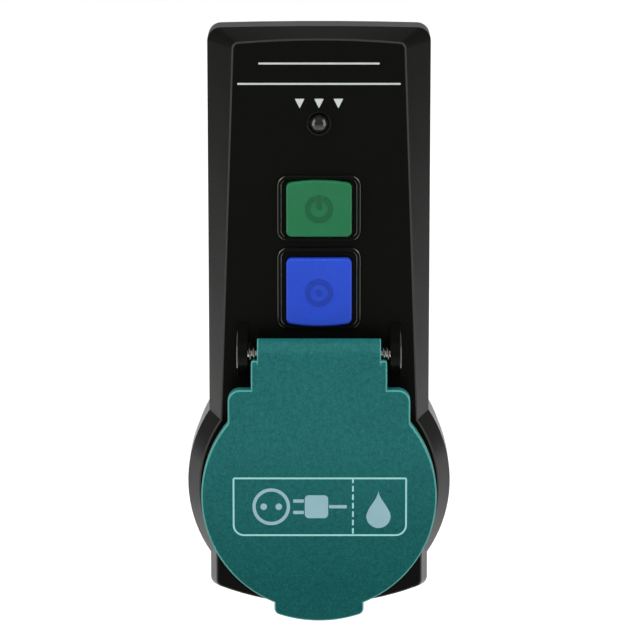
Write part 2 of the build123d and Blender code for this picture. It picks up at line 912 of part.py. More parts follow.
def load_strip(side):
    """Flat strip from a socket contact up to the load side of the contact gap."""
    low, high = load_low_half, load_rivet_z + strip_half_width
    inner_x = pin_x + contact_tab_reach
    run_x = load_outer_x - contact_tab_width
    top_x = bridge_x - strip_half_width
    shape = rectangle(inner_x, load_outer_x, -low, low)
    shape += rectangle(run_x, load_outer_x, -low, high)
    shape += rectangle(top_x, load_outer_x, load_rivet_z - strip_half_width, high)
    strip = slab(shape, contact_front_y + strip_thickness, contact_front_y)
    strip += rod(bridge_x, load_rivet_z, rivet_r, strip_back_y + rivet_height, contact_front_y)
    foot_xs = (top_x, bridge_x + strip_half_width)
    strip += block(foot_xs, (board_back_y, contact_front_y), (high - strip_thickness, high))
    return strip if side > 0 else mirror(strip, about=Plane.YZ)


def supply_contact(side):
    """Flat strip from a wire's end up to the supply side of the contact gap."""
    low_x, high_x = bridge_x - strip_half_width, bridge_x + strip_half_width
    shape = rectangle(low_x, high_x, supply_low_z, supply_rivet_z + strip_half_width)
    strip = slab(shape, strip_back_y, strip_front_y)
    strip += rod(bridge_x, supply_rivet_z, rivet_r, strip_back_y + rivet_height, strip_back_y)
    strip += block((low_x, high_x), (board_back_y, strip_front_y), (supply_low_z, supply_low_z + strip_thickness))
    return strip if side > 0 else mirror(strip, about=Plane.YZ)


def contact_carrier():
    """Insulating slide on two guide pins, with an arm behind each contact bridge."""
    half, tall = carrier_half, carrier_half_height
    carrier = block((-half, half), (carrier_front_y, carrier_back_y), (reset_z - tall, reset_z + tall))
    arm, arm_tall = carrier_arm_half, carrier_arm_half_height
    carrier += block((-arm, arm), (bridge_back_y, carrier_back_y), (reset_z - arm_tall, reset_z + arm_tall))
    carrier -= rod(0, reset_z, stem_r + stem_room, carrier_back_y - carrier_floor, carrier_front_y - overrun)
    for x in (-guide_pin_x, guide_pin_x):
        carrier -= rod(
            x, reset_z, guide_pin_r + guide_pin_clearance, carrier_back_y + overrun, carrier_front_y - overrun
        )
    return carrier


def contact_bridges():
    """One bridge a pole, with a rivet at each end."""
    low_x, high_x = bridge_x - bridge_half_width, bridge_x + bridge_half_width
    bridge = block(
        (low_x, high_x), (bridge_front_y, bridge_back_y),
        (reset_z - bridge_half_length, reset_z + bridge_half_length),
    )
    for z in (supply_rivet_z, load_rivet_z):
        bridge += rod(bridge_x, z, rivet_r, bridge_front_y, bridge_front_y - rivet_height)
    return both_sides(bridge)


def carrier_guide_pins():
    return [rod(x, reset_z, guide_pin_r, back_inner_y, board_back_y) for x in (-guide_pin_x, guide_pin_x)]


def helix_path(start, along, first, radius, pitch, turns):
    """Points and directions every quarter turn on a helix about the axis along."""
    second = along.cross(first)
    count = round(turns * quarters)
    places = []
    for number in range(count + 1):
        angle = math.tau * number / quarters
        out = first * math.cos(angle) + second * math.sin(angle)
        tangent = second * math.cos(angle) - first * math.sin(angle)
        place = start + out * radius + along * (pitch * number / quarters)
        direction = (tangent * (math.tau * radius) + along * pitch).normalized()
        places.append((place, direction))
    return places


def biarc(begin, begin_way, end, end_way):
    """Two arcs that meet smoothly and leave and arrive in the given directions."""
    span = end - begin
    ways = begin_way + end_way
    rest = 4 - ways.dot(ways)
    reach = (math.sqrt(span.dot(ways) ** 2 + rest * span.dot(span)) - span.dot(ways)) / rest
    knee_a, knee_b = begin + begin_way * reach, end - end_way * reach
    middle = (knee_a + knee_b) / 2
    return [
        TangentArc([begin, middle], tangent=begin_way),
        TangentArc([middle, end], tangent=(knee_b - knee_a).normalized()),
    ]


def least_self_gap(radius, pitch, turns, wire_radius):
    """Least clear gap between one turn of a coil and the next, measured on points."""
    count = round(turns * gap_samples)
    points = []
    for number in range(count + 1):
        angle = math.tau * number / gap_samples
        points.append(Vector(radius * math.cos(angle), radius * math.sin(angle), pitch * number / gap_samples))
    gaps = [
        (points[later] - points[first]).length
        for first in range(count + 1)
        for later in range(first + gap_samples // 2, count + 1)
    ]
    return min(gaps) - wire_radius * 2


def coil_spring(name, start, along, first, radius, pitch, turns, wire_radius, leg=0):
    """A helical spring as one unbroken tube, with a straight leg at its start if leg isn't zero."""
    places = helix_path(start, along, first, radius, pitch, turns)
    edges = []
    if leg:
        place, way = places[0]
        places[0] = (place, (way - along * way.dot(along)).normalized())
        edges.append(Line(place - places[0][1] * leg, place))
    for (begin, begin_way), (end, end_way) in zip(places, places[1:]):
        edges += biarc(begin, begin_way, end, end_way)
    place, way = places[0]
    section = Plane(origin=place - way * leg, z_dir=way) * Circle(wire_radius)
    print(name, "least gap to itself", round(least_self_gap(radius, pitch, turns, wire_radius), 3))
    return sweep(section, path=Wire([edge for part in edges for edge in part.edges()]))


def pressed_spring(name, x, z, low, high, radius, wire_radius, turns):
    """A compression spring along Y that fills the space from depth low to depth high."""
    room = high - low - 2 * (wire_radius + spring_end_gap)
    start = Vector(x, low + wire_radius + spring_end_gap, z)
    return coil_spring(name, start, Vector(0, 1, 0), Vector(1, 0, 0), radius, room / turns, turns, wire_radius)


def hinge_spring(side):
    """Torsion spring on the hinge pin, between the ear and the lid's knuckle."""
    outer_x = side * (ear_inner_x - hinge_wire_r - hinge_spring_side_gap)
    start = Vector(outer_x, hinge_y, hinge_z)
    leg_length = panel_y - hinge_leg_gap - hinge_y
    along = Vector(-side, 0, 0)
    first = Vector(0, 0, side) if side > 0 else Vector(0, 0, -side)
    second = along.cross(first)
    if second.Y > 0:
        first = first * -1
    name = "right hinge spring" if side > 0 else "left hinge spring"
    return coil_spring(
        name, start, along, first, hinge_spring_r, hinge_spring_pitch, hinge_spring_turns, hinge_wire_r, leg_length
    )


def hinge_pin():
    half = ear_inner_x + ear_thickness
    return bar_x(hinge_y, hinge_z, hinge_pin_r, -half, half)


def lid_shape(shrink):
    """Front view of the lid below its neck, drawn inwards by shrink."""
    shape = Circle(lid_r - shrink)
    half = shoulder_half - shrink
    shape += rectangle(-half, half, 0, shoulder_z - shrink, shoulder_corner_r - shrink)
    half = tab_half - shrink
    tab_r = lid_r + tab_reach
    tab = rectangle(-half, half, -tab_r, 0) & Circle(tab_r - shrink)
    corner_r = max(tab_corner_r - shrink, inner_corner_r)
    return shape + fillet(tab.vertices().sort_by(Axis.Y)[:2], corner_r)


def lid():
    """Sprung cover with a shallow skirt, gasket seat, neck, finger tab and hinge knuckle."""
    shape = lid_shape(0)
    shape += rectangle(-neck_half, neck_half, 0, neck_z, neck_corner_r)
    shape += rectangle(-knuckle_half, knuckle_half, 0, hinge_z)
    plate = slab(shape, lid_inner_y, lid_front_y)
    front_edges = plate.faces().sort_by(Axis.Y)[0].edges()
    top_edge = front_edges.sort_by(Axis.Z)[-1]
    plate = fillet([edge for edge in front_edges if edge != top_edge], lid_edge_r)
    plate += slab(lid_shape(0) - lid_shape(lid_wall), lid_rim_y, lid_inner_y)
    inner_rib_r = gasket_inner_r - seat_rib_gap
    outer_rib_r = gasket_outer_r + seat_rib_gap
    ribs = Circle(inner_rib_r) - Circle(inner_rib_r - seat_rib_width)
    ribs += Circle(outer_rib_r + seat_rib_width) - Circle(outer_rib_r)
    plate += slab(ribs, lid_inner_y + seat_rib_height, lid_inner_y)
    plate += bar_x(hinge_y, hinge_z, barrel_r, -knuckle_half, knuckle_half)
    bore_reach = knuckle_half + overrun
    return plate - bar_x(hinge_y, hinge_z, hinge_pin_r + hinge_pin_clearance, -bore_reach, bore_reach)


def lid_gasket():
    ring = Circle(gasket_outer_r) - Circle(gasket_inner_r)
    return slab(ring, lid_inner_y + gasket_thickness, lid_inner_y)


def button(low_z, high_z, arch_up, stem_z, stem_end_y):
    """A dished cap with a flange behind the panel and a round stem."""
    shape = button_shape(low_z, high_z, arch_up, 0)
    cap = slab(shape, flange_front_y, button_front_y)
    cap = fillet(cap.faces().sort_by(Axis.Y)[0].edges(), button_edge_r)
    dish_y = button_front_y - button_dish_r + button_dish_depth
    cap -= Pos(0, dish_y, stem_z) * Sphere(button_dish_r)
    flange = button_shape(low_z, high_z, arch_up, flange_margin)
    cap += slab(flange, flange_back_y, flange_front_y)
    return cap + rod(0, stem_z, stem_r, stem_end_y, flange_back_y)


def reset_button():
    """Green button whose grooved stem passes the latch plate and enters the carrier."""
    end_y = carrier_back_y - carrier_floor - carrier_travel - reset_travel - stem_room
    cap = button(reset_low_z, reset_high_z, True, reset_z, end_y)
    groove_back = latch_back_y + stem_groove_margin
    groove_front = latch_front_y - stem_groove_margin
    groove = rod(0, reset_z, stem_r + overrun, groove_back, groove_front)
    return cap - (groove - rod(0, reset_z, stem_groove_r, groove_back, groove_front))


def test_button():
    """Blue button whose stem rests on the test contact leaf."""
    return button(test_low_z, test_high_z, False, test_z, board_front_y - test_stem_end)


def test_contact_strip():
    """Bent leaf on the board that closes the test circuit and returns the button."""
    leaf_back = board_front_y - test_stem_end
    foot_front = board_front_y - test_leaf_thickness
    foot_low, foot_high = test_leaf_low_z, test_leaf_low_z + test_leaf_foot
    shape = rectangle(foot_front, board_front_y, foot_low, foot_high)
    shape += rectangle(leaf_back, board_front_y, foot_high - test_leaf_thickness, foot_high)
    shape += rectangle(leaf_back, leaf_back + test_leaf_thickness, foot_high - test_leaf_thickness, test_leaf_high_z)
    return profile_x(shape, -test_leaf_half, test_leaf_half)


def indicator_lens():
    """Clear domed lens, held by its flange behind the panel."""
    lens = rod(0, lamp_z, lens_r, panel_inner_y + lens_flange_thickness, panel_y)
    dome = Pos(0, panel_y, lamp_z) * Sphere(lens_r)
    dome &= block(
        (-lens_r, lens_r), (panel_y - lens_r / 2, panel_y + lens_r), (lamp_z - lens_r, lamp_z + lens_r)
    )
    lens += dome
    return lens + rod(0, lamp_z, lens_flange_r, panel_inner_y + lens_flange_thickness, panel_inner_y)


def indicator_lamp():
    """Small lamp on the board behind the lens."""
    lamp = rod(0, lamp_z, lamp_r, board_front_y, board_front_y - lamp_height)
    return fillet(lamp.edges().sort_by(Axis.Y)[:1], lamp_r / 2)


def circuit_board():
    shape = rectangle(-board_half, board_half, board_low_z, board_high_z, board_corner_r)
    shape -= disc(0, reset_z, stem_r + stem_room)
    for x, z in board_screw_places():
        shape -= disc(x, z, board_screw_r + board_screw_clearance)
    return slab(shape, board_back_y, board_front_y)


def board_screws():
    screws = []
    for x, z in board_screw_places():
        head = rod(x, z, board_screw_head_r, board_front_y, board_front_y - board_screw_head_height)
        head = fillet(head.edges().sort_by(Axis.Y)[:1], board_screw_head_height / 2)
        end_y = board_back_y + board_screw_length - board_screw_clearance
        screws.append(head + rod(x, z, board_screw_r, end_y, board_front_y))
    return screws


def latch_plate():
    """Steel plate that holds the button's stem and is pushed down by the plunger."""
    shape = rectangle(-latch_half, latch_half, latch_low_z, latch_tab_z)
    slot_top = reset_z + latch_slot_half + trip_travel
    shape -= rectangle(-latch_slot_half, latch_slot_half, reset_z, slot_top)
    shape -= disc(0, reset_z, latch_slot_half)
    plate = slab(shape, latch_back_y, latch_front_y)
    return plate + block(
        (-latch_half, latch_half), (latch_front_y, latch_front_y + latch_tab_reach),
        (latch_tab_z - latch_thickness, latch_tab_z),
    )


def coil_disc(radius, low, high):
    """A round piece on the trip coil's axis."""
    return bar_z(0, coil_y, radius, low, high)


def trip_coil_frame():
    """Steel yoke: two end plates joined by one side plate, standing on the board."""
    half = coil_plate_half
    side_x = -half - coil_plate
    ys = (board_back_y, coil_y + half)
    frame = block((side_x, -half), ys, (coil_low_z, coil_high_z))
    for low in (coil_low_z, coil_high_z - coil_plate):
        frame += block((side_x, half), ys, (low, low + coil_plate))
    return frame - coil_disc(nose_hole_r, coil_low_z - overrun, coil_low_z + coil_plate + overrun)


def trip_coil_bobbin():
    low, high = coil_low_z + coil_plate, coil_high_z - coil_plate
    bobbin = coil_disc(bobbin_tube_r, low, high)
    bobbin += coil_disc(bobbin_flange_r, low, low + bobbin_flange)
    bobbin += coil_disc(bobbin_flange_r, high - bobbin_flange, high)
    return bobbin - coil_disc(bobbin_bore_r, low - overrun, high + overrun)


def trip_coil_winding():
    low = coil_low_z + coil_plate + bobbin_flange + winding_gap
    high = coil_high_z - coil_plate - bobbin_flange - winding_gap
    winding = coil_disc(winding_r, low, high)
    return winding - coil_disc(bobbin_tube_r + winding_gap, low - overrun, high + overrun)


def trip_plunger():
    """Steel plunger in the bobbin, with a thin nose that reaches the latch plate."""
    top = coil_high_z - coil_plate - plunger_top_gap
    return coil_disc(plunger_r, plunger_shoulder_z, top) + coil_disc(nose_r, latch_tab_z, plunger_shoulder_z)


def plunger_spring():
    """Return spring round the plunger's nose, inside the bobbin."""
    low, high = coil_low_z + coil_plate, plunger_shoulder_z
    room = high - low - 2 * (plunger_wire_r + spring_end_gap)
    start = Vector(0, coil_y, low + plunger_wire_r + spring_end_gap)
    return coil_spring(
        "plunger spring", start, Vector(0, 0, 1), Vector(1, 0, 0),
        plunger_spring_r, room / plunger_spring_turns, plunger_spring_turns, plunger_wire_r,
    )


def ring_solid(inner_r, outer_r, low, high):
    """A ring about the transformer's axis."""
    ring = bar_z(0, ring_y, outer_r, low, high)
    return ring - bar_z(0, ring_y, inner_r, low - overrun, high + overrun)


def transformer_core():
    low, high = ring_low_z + core_cover + core_gap, ring_low_z + ring_height - core_cover - core_gap
    return ring_solid(ring_hole_r + core_cover + core_gap, ring_outer_r - core_cover - core_gap, low, high)


def transformer_winding():
    """Winding wrapped round most of the core, open over a short arc."""
    section = rectangle(ring_hole_r, ring_outer_r, ring_low_z, ring_low_z + ring_height)
    section -= rectangle(
        ring_hole_r + core_cover, ring_outer_r - core_cover,
        ring_low_z + core_cover, ring_low_z + ring_height - core_cover,
    )
    winding = revolve(Plane.XZ * section, axis=Axis.Z, revolution_arc=winding_sweep_deg)
    return Pos(0, ring_y, 0) * (Rot(0, 0, (360 - winding_sweep_deg) / 2) * winding)


def conductor(side):
    """Insulated wire from a pin's tail, through the transformer, to a supply contact."""
    tail_y = (pin_tail_y + pin_flange_y) / 2
    tail_top = pin_tail_width / 2
    strip_middle_y = strip_back_y - strip_thickness / 2
    route = [
        (pin_x, tail_y, tail_top),
        (pin_x, tail_y, tail_top + wire_rise),
        (wire_low_x, wire_low_y, wire_low_z),
        (wire_middle_x, wire_middle_y, wire_middle_z),
        (wire_hole_x, ring_y, ring_low_z - wire_clear_of_ring),
        (wire_hole_x, ring_y, ring_low_z + ring_height + wire_clear_of_ring),
        (bridge_x, strip_middle_y, supply_low_z - wire_below_strip),
        (bridge_x, strip_middle_y, supply_low_z),
    ]
    points = [Vector(side * x, y, z) for x, y, z in route]
    runs = [end - begin for begin, end in zip(points, points[1:])]
    radii = []
    for before, after in zip(runs, runs[1:]):
        half_turn = math.radians(before.get_angle(after)) / 2
        radii.append(wire_arc_share * min(before.length, after.length) / math.tan(half_turn))
    print("wire bend radii", [round(radius, 1) for radius in radii])
    path = FilletPolyline(*points, radius=radii)
    return sweep(Plane(origin=points[0], z_dir=runs[0].normalized()) * Circle(wire_r), path=path)


def control_chip():
    """Eight-legged control circuit on the board."""
    low_y, high_y = board_front_y - chip_stand - chip_height, board_front_y - chip_stand
    chip = block(
        (chip_x - chip_half_width, chip_x + chip_half_width), (low_y, high_y),
        (chip_z - chip_half_length, chip_z + chip_half_length),
    )
    middle_leg = (chip_legs_a_side - 1) / 2
    half_leg = chip_leg_width / 2
    reach = chip_half_width + chip_leg_reach
    for number in range(chip_legs_a_side):
        z = chip_z + chip_leg_pitch * (number - middle_leg)
        for side in (-1, 1):
            xs = sorted((chip_x + side * (chip_half_width - half_leg), chip_x + side * reach))
            chip += block(xs, (board_front_y - chip_stand * 2, board_front_y), (z - half_leg, z + half_leg))
    return chip


def capacitors():
    """Two round capacitors standing on the board."""
    return [
        rod(x, capacitor_z, capacitor_r, board_front_y, board_front_y - capacitor_height)
        for x in (-capacitor_x, capacitor_x)
    ]


def rectifier_diodes():
    half = diode_length / 2
    return [
        bar_x(board_front_y - diode_r, diode_low_z + diode_pitch * number, diode_r, diode_x - half, diode_x + half)
        for number in range(diode_count)
    ]


def test_resistor():
    half = resistor_length / 2
    return bar_z(resistor_x, board_front_y - resistor_r, resistor_r, resistor_z - half, resistor_z + half)


def varistor():
    half = varistor_thickness / 2
    return bar_x(board_front_y - varistor_r, varistor_z, varistor_r, varistor_x - half, varistor_x + half)


def as_one(shape):
    """A single solid as it is, or a list of solids as one group."""
    return Compound(children=list(shape)) if isinstance(shape, list) else shape


def sub_parts():
    """Every node of the part, by name."""
    return {
        "front_shell": front_shell(),
        "rear_shell": rear_shell(),
        "shell_seal": shell_seal(),
        "housing_screws": housing_screws(),
        "line_pin": pin(-1),
        "neutral_pin": pin(1),
        "plug_earth_strip": plug_earth_strip(),
        "socket_insert": socket_insert(),
        "socket_earth_strip": socket_earth_strip(),
        "earth_link": earth_link(),
        "line_socket_contact": socket_contact(-1),
        "neutral_socket_contact": socket_contact(1),
        "line_load_strip": load_strip(-1),
        "neutral_load_strip": load_strip(1),
        "line_supply_contact": supply_contact(-1),
        "neutral_supply_contact": supply_contact(1),
        "line_wire": conductor(-1),
        "neutral_wire": conductor(1),
        "shutter_retainer": shutter_retainer(),
        "rotary_shutter": rotary_shutter(),
        "shutter_spring": pressed_spring(
            "shutter spring", 0, 0, shutter_back_y - shutter_pocket_depth, retainer_front_y,
            shutter_spring_r, shutter_wire_r, shutter_spring_turns,
        ),
        "hinge_pin": hinge_pin(),
        "hinge_spring_left": hinge_spring(-1),
        "hinge_spring_right": hinge_spring(1),
        "lid": lid(),
        "lid_gasket": lid_gasket(),
        "reset_button": reset_button(),
        "test_button": test_button(),
        "reset_spring": pressed_spring(
            "reset spring", 0, reset_z, flange_back_y, board_front_y,
            reset_spring_r, reset_wire_r, reset_spring_turns,
        ),
        "test_contact_strip": test_contact_strip(),
        "indicator_lens": indicator_lens(),
        "indicator_lamp": indicator_lamp(),
        "circuit_board": circuit_board(),
        "board_screws": board_screws(),
        "contact_carrier": contact_carrier(),
        "contact_bridges": contact_bridges(),
        "carrier_guide_pins": carrier_guide_pins(),
        "carrier_springs": [
            pressed_spring(
                "carrier spring", x, reset_z, board_back_y, carrier_front_y,
                carrier_spring_r, carrier_wire_r, carrier_spring_turns,
            )
            for x in (-guide_pin_x, guide_pin_x)
        ],
        "latch_plate": latch_plate(),
        "trip_coil_frame": trip_coil_frame(),
        "trip_coil_bobbin": trip_coil_bobbin(),
        "trip_coil_winding": trip_coil_winding(),
        "trip_plunger": trip_plunger(),
        "plunger_spring": plunger_spring(),
        "transformer_core": transformer_core(),
        "transformer_winding": transformer_winding(),
        "control_chip": control_chip(),
        "capacitors": capacitors(),
        "rectifier_diodes": rectifier_diodes(),
        "test_resistor": test_resistor(),
        "varistor": varistor(),
    }


os.makedirs("parts", exist_ok=True)
for node, shape in sub_parts().items():
    export_step(as_one(shape), f"parts/{node}.step")
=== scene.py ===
import json
import math

import bpy
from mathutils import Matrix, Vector


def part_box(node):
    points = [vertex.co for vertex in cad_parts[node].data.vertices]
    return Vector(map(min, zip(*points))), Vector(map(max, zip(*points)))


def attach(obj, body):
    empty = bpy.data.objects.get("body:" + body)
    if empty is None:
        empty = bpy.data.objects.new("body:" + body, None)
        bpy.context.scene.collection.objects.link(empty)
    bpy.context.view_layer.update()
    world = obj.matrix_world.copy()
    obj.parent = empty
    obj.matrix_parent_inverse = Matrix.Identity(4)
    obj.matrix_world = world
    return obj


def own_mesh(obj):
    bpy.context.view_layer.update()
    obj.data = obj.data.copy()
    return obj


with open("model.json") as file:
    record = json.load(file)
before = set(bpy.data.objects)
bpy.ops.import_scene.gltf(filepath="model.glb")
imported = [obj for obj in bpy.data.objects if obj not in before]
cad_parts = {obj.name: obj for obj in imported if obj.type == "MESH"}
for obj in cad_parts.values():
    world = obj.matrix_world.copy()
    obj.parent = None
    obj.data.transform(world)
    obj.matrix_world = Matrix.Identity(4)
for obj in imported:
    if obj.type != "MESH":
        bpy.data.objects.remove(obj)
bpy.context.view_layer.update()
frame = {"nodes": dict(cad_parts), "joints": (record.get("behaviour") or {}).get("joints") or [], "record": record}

# Adapter plug with a residual-current switch.
# Lengths are in metres, and a size in millimetres is written times MM.
# X is right, +Y is back towards the wall and +Z is up.
MM = 0.001

# Camera: where it looks, how far away and how high
look_at = Vector((0.24, -47.5, 40.367)) * MM
camera_distance = 1075 * MM
camera_elevation = math.radians(10.2)
camera_lens = 251.87
camera_sensor = 36.0
camera_nearest, camera_farthest = 0.05, 50

# Studio: floor, soft lights and world, with lengths in metres and powers in watts
floor_z = -0.16
floor_size = 14
floor_cuts = 6
studio_middle = (0, -0.04, 0.04)
key_place, key_target = (-0.02, -0.2, 0.27), (0, -0.06, 0.0)
key_size, key_power = 0.3, 1.2
fill_place = (0.5, -1.5, 0.7)
fill_size, fill_power = 0.6, 3.0
strip_x, strip_y, strip_z = 0.7, -0.25, 0.06
strip_width, strip_height, strip_power = 0.44, 1.4, 6.6
wash_x, wash_y, wash_z = 2.4, 1.6, 1.3
wash_target_x, wash_target_y = 0.2, 1.5
wash_size, wash_power = 1.2, 70.0
world_strength = 0.36

# Pieces that carry print and marks: their boxes, and the depths of the lid's face and the panel
lid_low, lid_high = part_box("lid")
lid_face_y = lid_low[1]
panel_y = -50.5 * MM
reset_low, reset_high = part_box("reset_button")
test_low, test_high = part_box("test_button")

# Where the front shell's finish changes: button rims and panel edge, which carry painted highlights, and hinge
# ears
step_blur = 0.06 * MM
rim_height = 0.9 * MM
rim_edge_r = 0.3 * MM
rim_half = 10 * MM
rim_width = 0.95 * MM
rim_side_x = 8.6 * MM
rim_side_blur = 1 * MM
panel_edge = 0.5 * MM
ear_polish_x = 19.25 * MM
ear_low_z = 26 * MM

# Where the lid's finish changes: from where to where its painted light at the top goes over to painted shade lower
# down, and the painted highlights along the edges of plate and knuckle
lid_painted_light_z = 12 * MM
lid_painted_shade_z = -22 * MM
plate_highlight_start, plate_highlight_start_blur = 0.05 * MM, 0.04 * MM
plate_highlight_end, plate_highlight_end_blur = 0.5 * MM, 0.3 * MM
knuckle_height = 5.5 * MM
knuckle_half = 14.7 * MM
knuckle_radius = 3.7 * MM
knuckle_low_blur = 1 * MM
knuckle_side_blur = 0.1 * MM
knuckle_highlight = 0.35 * MM
knuckle_highlight_blur = 0.15 * MM
knuckle_highlight_back_blur = 0.2 * MM
knuckle_end_highlight = 0.25 * MM

# Winding and board: how far apart the wire's turns and the board's tracks lie
wire_pitch = 0.22 * MM
track_pitch = 1.5 * MM

# Lens: the sphere that its dome belongs to, and how far in front of the panel the solid's dome ends
lens_z = 88.3 * MM
lens_radius = 2.2 * MM
lens_flat = lens_radius / 2
lens_segments, lens_rings = 64, 48
lens_smooth_angle = math.radians(30)

# Print on the lid
frame_left, frame_right = -20.6 * MM, 21.0 * MM
frame_low, frame_high = -9.56 * MM, 4.73 * MM
frame_line = 0.42 * MM
frame_low_corner = 2.7 * MM
frame_high_corner = 0.5 * MM
divider_x = 8.1 * MM
divider_width = 0.42 * MM
dash_length = 1.38 * MM
dash_step = 2.06 * MM
drop_x = 14.2 * MM
drop_tip_z = 1.44 * MM
drop_low_z = -7.6 * MM
drop_radius = 2.9 * MM
drop_hollow = 0.75
drop_sides = 96
socket_sign_x = -11.4 * MM
plug_sign_x = -0.6 * MM
sign_z = -2.4 * MM
sign_radius = 4.5 * MM
sign_line = 0.8 * MM
sign_dot_radius = 0.8 * MM
sign_dot_x = 1.8 * MM
sign_bar_corner = sign_line / 2 * 0.6
plug_half = sign_radius * 0.62
plug_cord_length = plug_half * 1.6
ring_sides = 64
dot_sides = 32
print_height = 0.03 * MM
print_sink = 0.03 * MM
print_thickness = print_sink + print_height
lid_print_y = lid_face_y + print_sink
panel_print_y = panel_y + print_sink

# Print on the panel: rules and small marks
panel_row_top_z = 102.66 * MM
panel_row_middle_z = 97.8 * MM
panel_row_low_z = 93.1 * MM
panel_rule_width = 0.45 * MM
panel_top_half = 14.4 * MM
panel_middle_half = 19.4 * MM
triangle_size = 2.3 * MM

# Raised marks on the buttons, which start below the dished faces
dish_depth = 0.35 * MM
mark_relief = 0.25 * MM
mark_thickness = mark_relief * 2
mark_line = 0.95 * MM
mark_radius = 3.2 * MM


class Value:
    """A number in a material's nodes that takes arithmetic as Python's numbers do."""

    def __init__(self, finish, socket):
        self.finish = finish
        self.socket = socket

    def worked(self, operation, *values):
        """What a Math node makes of the values."""
        node = self.finish.node("ShaderNodeMath", {"operation": operation}, *values)
        return Value(self.finish, node.outputs[0])

    def __add__(self, other):
        return self.worked("ADD", self, other)

    def __radd__(self, other):
        return self.worked("ADD", other, self)

    def __sub__(self, other):
        return self.worked("SUBTRACT", self, other)

    def __rsub__(self, other):
        return self.worked("SUBTRACT", other, self)

    def __mul__(self, other):
        return self.worked("MULTIPLY", self, other)

    def __rmul__(self, other):
        return self.worked("MULTIPLY", other, self)

    def __truediv__(self, other):
        return self.worked("DIVIDE", self, other)

    def __rtruediv__(self, other):
        return self.worked("DIVIDE", other, self)

    def clamped(self):
        """The value kept between 0 and 1."""
        least = self.worked("MAXIMUM", self, 0.0)
        return least.worked("MINIMUM", least, 1.0)

    def above(self, edge, softness):
        """0 below the edge and 1 above it, with a soft step between."""
        return ((self - edge) / softness + 0.5).clamped()


class Finish:
    """A material: its shader, and ways to add nodes to it."""

    def __init__(self, name, **constants):
        self.material = bpy.data.materials.new(name)
        self.material.use_nodes = True
        self.tree = self.material.node_tree
        self.shader = self.tree.nodes["Principled BSDF"]
        for label, value in constants.items():
            self.shader.inputs[label.replace("_", " ")].default_value = value
        self.place = self.node("ShaderNodeTexCoord").outputs["Object"]

    def fill(self, socket, value):
        """Puts a number, a colour or a link into one socket."""
        if isinstance(value, Value):
            value = value.socket
        if isinstance(value, bpy.types.NodeSocket):
            self.tree.links.new(value, socket)
        else:
            socket.default_value = value

    def node(self, kind, settings=None, *values, **named):
        """Adds a node: its settings first, then the values or links of its sockets."""
        node = self.tree.nodes.new(kind)
        for label, value in (settings or {}).items():
            setattr(node, label, value)
        for socket, value in zip(node.inputs, values):
            self.fill(socket, value)
        for label, value in named.items():
            self.fill(node.inputs[label.replace("_", " ")], value)
        return node

    def noise(self, size, detail=2.0, stretch=None, distortion=0.0):
        """Noise from 0 to 1 whose lumps are about as large as size, in metres."""
        place = self.place
        if stretch:
            place = self.node("ShaderNodeMapping", None, Vector=place, Scale=stretch).outputs[0]
        node = self.node(
            "ShaderNodeTexNoise", {"noise_dimensions": "3D"},
            Vector=place, Scale=1 / size, Detail=detail, Roughness=0.55, Distortion=distortion,
        )
        return Value(self, node.outputs["Fac"])

    def cells(self, size):
        """Distance to the nearest of scattered points about size apart."""
        node = self.node("ShaderNodeTexVoronoi", {"feature": "F1"}, Vector=self.place, Scale=1 / size)
        return Value(self, node.outputs["Distance"])

    def axis(self, letter):
        """Place along one axis, in metres."""
        parts = self.node("ShaderNodeSeparateXYZ", None, Vector=self.place)
        return Value(self, parts.outputs[letter])

    def aside(self):
        """Distance from the middle plane, to the left or the right."""
        across = self.axis("X")
        return across.worked("ABSOLUTE", across)

    def tint(self, colour, shade):
        """The colour made lighter or darker by shade."""
        node = self.node("ShaderNodeVectorMath", {"operation": "SCALE"}, Vector=colour, Scale=shade)
        return node.outputs["Vector"]

    def blend(self, first, second, share):
        """The first colour where share is 0, going over to the second where it is 1."""
        node = self.node("ShaderNodeMix", {"data_type": "RGBA"})
        self.fill(node.inputs[0], share)
        for socket, colour in ((node.inputs[6], first), (node.inputs[7], second)):
            self.fill(socket, (*colour, 1.0) if isinstance(colour, tuple) else colour)
        return node.outputs[2]

    def colour(self, value):
        """Sets the colour of the surface."""
        self.fill(self.shader.inputs["Base Color"], value)

    def roughness(self, value):
        """Sets the roughness of the surface."""
        self.fill(self.shader.inputs["Roughness"], value.clamped())

    def relief(self, height, depth):
        """Fine relief whose highest lumps stand depth metres proud."""
        bump = self.node("ShaderNodeBump", None, Strength=1.0, Distance=depth, Height=height)
        self.fill(self.shader.inputs["Normal"], bump.outputs[0])


def linear(red, green, blue):
    """A colour seen on screen, from 0 to 255, as the light it stands for."""
    parts = (red, green, blue)
    return tuple(c / 255 / 12.92 if c < 11 else ((c / 255 + 0.055) / 1.055) ** 2.4 for c in parts)


def moulded(name, colour, rough, grain, speckle, depth, gloss=0.5, patch=0.08):
    """Moulded plastic: fine spark-eroded grain and faint flow patches."""
    finish = Finish(name, Specular_IOR_Level=gloss)
    fine = finish.noise(grain, 2.0)
    coarse = finish.noise(grain * 3.3, 2.0)
    flow = finish.noise(16 * MM, 3.0, distortion=0.6)
    shade = 1 + (fine - 0.5) * speckle + (coarse - 0.5) * (speckle * 0.7) + (flow - 0.5) * patch
    finish.colour(finish.tint(colour, shade))
    finish.roughness(rough + (flow - 0.5) * 0.1 + (fine - 0.5) * 0.08)
    finish.relief(fine * 0.6 + coarse * 0.4, depth)
    return finish


def metal(name, colour, rough, brush, stretch):
    """Metal with drawing lines along one axis and a light tarnish."""
    finish = Finish(name, Metallic=1.0)
    lines = finish.noise(brush, 3.0, stretch=stretch)
    tarnish = finish.noise(4 * MM, 3.0)
    finish.colour(finish.tint(colour, 1 + (lines - 0.5) * 0.25 + (tarnish - 0.5) * 0.2))
    finish.roughness(rough + (tarnish - 0.5) * 0.16 + (lines - 0.5) * 0.1)
    finish.relief(lines, 0.006 * MM)
    return finish


